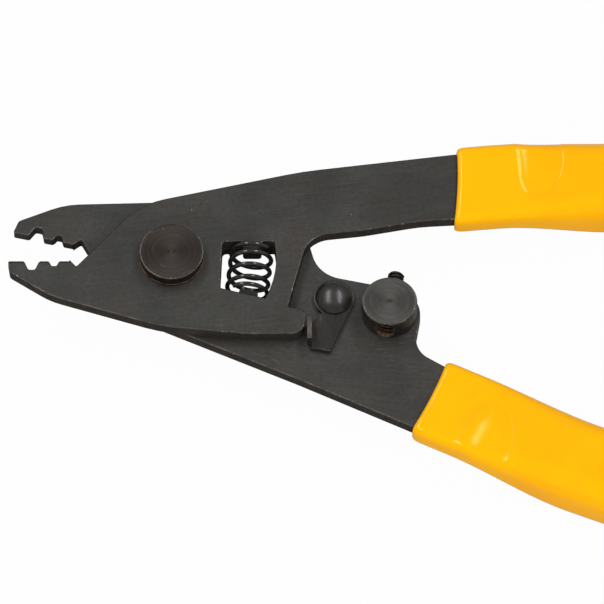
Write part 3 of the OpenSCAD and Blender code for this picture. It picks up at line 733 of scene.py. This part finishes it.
screw = threaded_rod("stop_screw_threaded", SCREW_R, SCREW_R - THREAD_DEPTH, screw_start, SCREW_LENGTH)
ends = turned_piece("screw_ends", (0, 0), [
    (SCREW_R - THREAD_DEPTH, screw_start), (SCREW_R + 0.02 * MM, screw_start + SCREW_CHAMFER),
    (SCREW_R + 0.02 * MM, screw_start + SCREW_LENGTH - SCREW_CHAMFER),
    (SCREW_R - THREAD_DEPTH, screw_start + SCREW_LENGTH)], sides=48)
combine(screw, ends, "INTERSECT")
socket = turned_piece("hex_socket", (0, 0), [
    (SOCKET_R, screw_start - MM), (SOCKET_R, screw_start + SOCKET_DEPTH),
    (0.05 * SOCKET_R, screw_start + SOCKET_DEPTH + 0.3 * MM)], sides=6)
combine(screw, socket, "DIFFERENCE")
screw.data.transform(upright_to_screw)
screw.data.materials.clear()
screw.data.materials.append(turned_steel("stop_screw_steel", (post_at[0] / MM, 0, 0),
    dark=(0.012, 0.011, 0.010, 1), light=(0.035, 0.028, 0.024, 1), rough=0.3))
smooth(screw, 30)
finish_piece(screw, "screw", "turned_steel", "stop_screw")


# ------------------------------------------------------------------ grips
# Each handle is dipped in soft yellow vinyl, which follows the pressed channel and its dent
# and ends in a rounded lip at the mouth.

VINYL = (1.0, 0.475, 0.0, 1)
VINYL_DEEP = (1.0, 0.44, 0.0, 1)

STEEL_DENT = 0.8 * MM       # the dent in the steel under the vinyl
DENT_REACH = 5.4 * MM
DENT_OPEN = 2.5 * MM
DENT_SPAN = 7.9 * MM
DENT_SKEW = 0.45            # how far the pocket's closed end leans
DENT_STEP = 0.125 * MM
DENT_SINK = 0.14 * MM
DENT_OPEN_SINK = 0.20 * MM
DENT_BEND = 2.7 * MM        # the dent reaches this far down from the front
DENT_FADE = 4.0 * MM        # and its mark in the skin has gone here
DENT_FINE = 8.0 * MM        # the skin is meshed finer this near the dent


def eased(t):
    t = max(0, min(1, t))
    return t * t * (3 - 2 * t)


def pressed_dent(place, across):
    """How deep the steel's dent goes at a place in the plane of the plates, and how deep the
    vinyl over it shows: a shallow step round the pocket, which sinks towards the open side."""
    centre, direction, side, shift, reach = across
    offset = place - centre
    along = offset.x * math.cos(direction) + offset.y * math.sin(direction)
    out = side * (offset.y * math.cos(direction) - offset.x * math.sin(direction))
    steel = math.hypot(along / DENT_REACH, max(0, DENT_OPEN - out) / DENT_SPAN)
    along -= shift
    skin = math.hypot(along / reach, max(0, DENT_OPEN - out + DENT_SKEW * along) / DENT_SPAN)
    sunk = DENT_SINK + (DENT_OPEN_SINK - DENT_SINK) * eased((out - 1 * MM) / (5 * MM))
    return (STEEL_DENT * (1 - eased(2 * steel - 1)),
        DENT_STEP * (1 - eased((skin - 0.70) / 0.17)) + sunk * (1 - eased(skin)))


def dipped_grip(cad_node, piece, body, across):
    """A smooth skin from the CAD grip. Its dent is filled before the smoothing and pressed in
    again after it, in a finer mesh, so that its rim stays even."""
    obj = bpy.data.objects.new(piece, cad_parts[cad_node].data.copy())
    bpy.context.scene.collection.objects.link(obj)
    obj.data.materials.clear()
    edit(obj)
    bpy.ops.mesh.remove_doubles(threshold=SAME_PLACE)
    bpy.ops.mesh.select_all(action="DESELECT")
    close_edit()
    end = max(obj.data.vertices, key=lambda v: v.co.x).co.x
    for face in obj.data.polygons:
        face.select = face.normal.x > 0.95 and face.center.x > end - 8 * MM
    bpy.ops.object.mode_set(mode="EDIT")
    bpy.ops.mesh.dissolve_limited(angle_limit=math.radians(1))
    bpy.ops.mesh.select_all(action="SELECT")
    bpy.ops.mesh.tris_convert_to_quads(face_threshold=math.pi, shape_threshold=math.pi)
    close_edit()
    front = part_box(cad_node)[1].z
    for vertex in obj.data.vertices:
        if vertex.co.z > front - DENT_BEND:
            vertex.co.z += pressed_dent(vertex.co, across)[0]
    apply_modifier(obj, "SUBSURF", levels=2, render_levels=2)
    edit(obj)
    bpy.ops.mesh.select_all(action="DESELECT")
    close_edit()
    for vertex in obj.data.vertices:
        near = (vertex.co.xy - across[0].xy).length < DENT_FINE
        vertex.select = near and vertex.co.z > front - DENT_BEND
    bpy.ops.object.mode_set(mode="EDIT")
    bpy.ops.mesh.subdivide(number_cuts=1)
    close_edit()
    for vertex in obj.data.vertices:
        share = eased((vertex.co.z - front + DENT_FADE) / DENT_BEND)
        vertex.co.z -= share * pressed_dent(vertex.co, across)[1]
    smooth(obj, 180)
    finish_piece(obj, body, "yellow_vinyl", cad_node)
    return obj


vinyl, tree, shader, place = new_material("dipped_vinyl")
flow = node(tree, "TexNoise", {"Vector": place, "Scale": 0.09, "Detail": 2.0}).outputs[0]
peel = node(tree, "TexNoise", {"Vector": place, "Scale": 1.1, "Detail": 2.0}).outputs[0]
waves = node(tree, "TexNoise", {"Vector": place, "Scale": 0.16, "Detail": 1.0}).outputs[0]
dust = use(tree, specks, {"Place": place, "Spacing": 4.5, "Size": 0.14, "Amount": 0.10})["Mask"]
colour = mix_colour(tree, ramp(tree, flow, 0.35, 0.65), VINYL, VINYL_DEEP)
colour = mix_colour(tree, maths(tree, "MULTIPLY", dust, 0.25), colour, (0.55, 0.22, 0.0, 1))
tree.links.new(colour, shader.inputs["Base Color"])
tree.links.new(ramp(tree, peel, 0.3, 0.7, 0.10, 0.14), shader.inputs["Roughness"])
shader.inputs["Specular IOR Level"].default_value = 0.45
shader.inputs["Specular Tint"].default_value = (1.0, 0.80, 0.35, 1)
height = maths(tree, "ADD", maths(tree, "MULTIPLY", waves, 1.0), maths(tree, "MULTIPLY", peel, 0.06))
bump(tree, shader, height, 0.12 * MM, 0.6)

# Where each dent lies: its centre, its handle's angle, its open side, its skin's shift and reach
UPPER_DENT = (Vector((63.34, 15.49, 0)) * MM, math.radians(4.36), 1, 0.9 * MM, 5.0 * MM)
LOWER_DENT = (Vector((55.27, -31.43, 0)) * MM, math.radians(-24.5), -1, 0.0, 6.2 * MM)
for cad_node, piece, body, across in (
        ("upper_grip", "upper_grip_vinyl", "front_arm", UPPER_DENT),
        ("lower_grip", "lower_grip_vinyl", "rear_arm", LOWER_DENT)):
    dipped_grip(cad_node, piece, body, across).data.materials.append(vinyl)


# ------------------------------------------------------------------ table, lamps and camera
# A white table under the tool, two long overhead strip lamps, a soft fill lamp that the gloss
# doesn't show, and a broad soft sky.

FLOOR_SIZE = 3.0
PAPER = 0.42                # how much light the table gives back to the tool
TABLE_WHITE = 0.98          # share of plain white that the camera sees on it
SKY = 0.33
STRIP_OUT = 0.31
STRIP_POWER = 1.95
FILL_POWER = 3.0
floor_z = cad_box[0].z - 0.4 * MM

bpy.ops.object.select_all(action="DESELECT")
bpy.ops.mesh.primitive_grid_add(x_subdivisions=4, y_subdivisions=4, size=FLOOR_SIZE,
    location=(0.05, 0, floor_z))
floor = bpy.context.object
floor.name = floor.data.name = "white_table"
bpy.ops.object.transform_apply(location=True, rotation=True, scale=True)


def seen(tree):
    """1 for rays from the camera, which see the plain white."""
    return node(tree, "LightPath").outputs["Is Camera Ray"]


table = bpy.data.materials.new("table_white")
table.use_nodes = True
tree = table.node_tree
tree.nodes.clear()
paper = node(tree, "BsdfDiffuse", {"Color": (PAPER, PAPER, PAPER, 1)})
glow = node(tree, "Emission", {"Color": (1, 1, 1, 1), "Strength": 1.0})
share = maths(tree, "MULTIPLY", seen(tree), TABLE_WHITE)
blend = node(tree, "MixShader", {0: share, 1: paper.outputs[0], 2: glow.outputs[0]})
tree.links.new(blend.outputs[0], node(tree, "OutputMaterial").inputs[0])
floor.data.materials.append(table)

world = bpy.data.worlds.new("soft_sky")
bpy.context.scene.world = world
world.use_nodes = True
tree = world.node_tree
tree.nodes.clear()
sky = node(tree, "Background",
    {"Color": (1, 1, 1, 1), "Strength": ramp(tree, seen(tree), 0.0, 1.0, SKY, 1.0)})
tree.links.new(sky.outputs[0], node(tree, "OutputWorld").inputs[0])


def area_lamp(name, place, size, aim, power):
    light = bpy.data.lights.new(name, "AREA")
    light.shape = "RECTANGLE"
    light.size, light.size_y = size
    light.energy = power
    lamp = bpy.data.objects.new(name, light)
    bpy.context.scene.collection.objects.link(lamp)
    lamp.location = place
    back = (Vector(place) - aim).normalized()
    along = (Vector((0, 1, 0)) - back.y * back).normalized()
    lamp.rotation_euler = Matrix((along.cross(back), along, back)).transposed().to_euler()
    return lamp


aim = Vector((0.0225, -0.0075, 0.0038))     # the lamps and the camera point here
for side in (-1, 1):
    area_lamp(f"strip_lamp_{'left' if side < 0 else 'right'}", (0.03 + side * STRIP_OUT, 0.15, 0.62),
        (0.12, 0.80), aim, STRIP_POWER)
fill = area_lamp("fill_lamp", (0.03, -0.62, 0.34), (0.70, 0.30), aim, FILL_POWER)
fill.visible_glossy = False

camera = bpy.data.objects.new("camera", bpy.data.cameras.new("camera"))
bpy.context.scene.collection.objects.link(camera)
CAMERA_FAR = 1.5
VIEW_WIDTH = 0.10414        # of the tool, across the picture
FILM = 36                   # width of the camera's sensor, mm
TILT = math.radians(30)
camera.location = aim + CAMERA_FAR * Vector((0, -math.sin(TILT), math.cos(TILT)))
camera.rotation_euler = (TILT, 0, 0)
camera.data.sensor_width = FILM
camera.data.lens = FILM * CAMERA_FAR / VIEW_WIDTH
camera.data.clip_start = 0.05
bpy.context.scene.camera = camera
bpy.context.scene.view_settings.view_transform = "Standard"
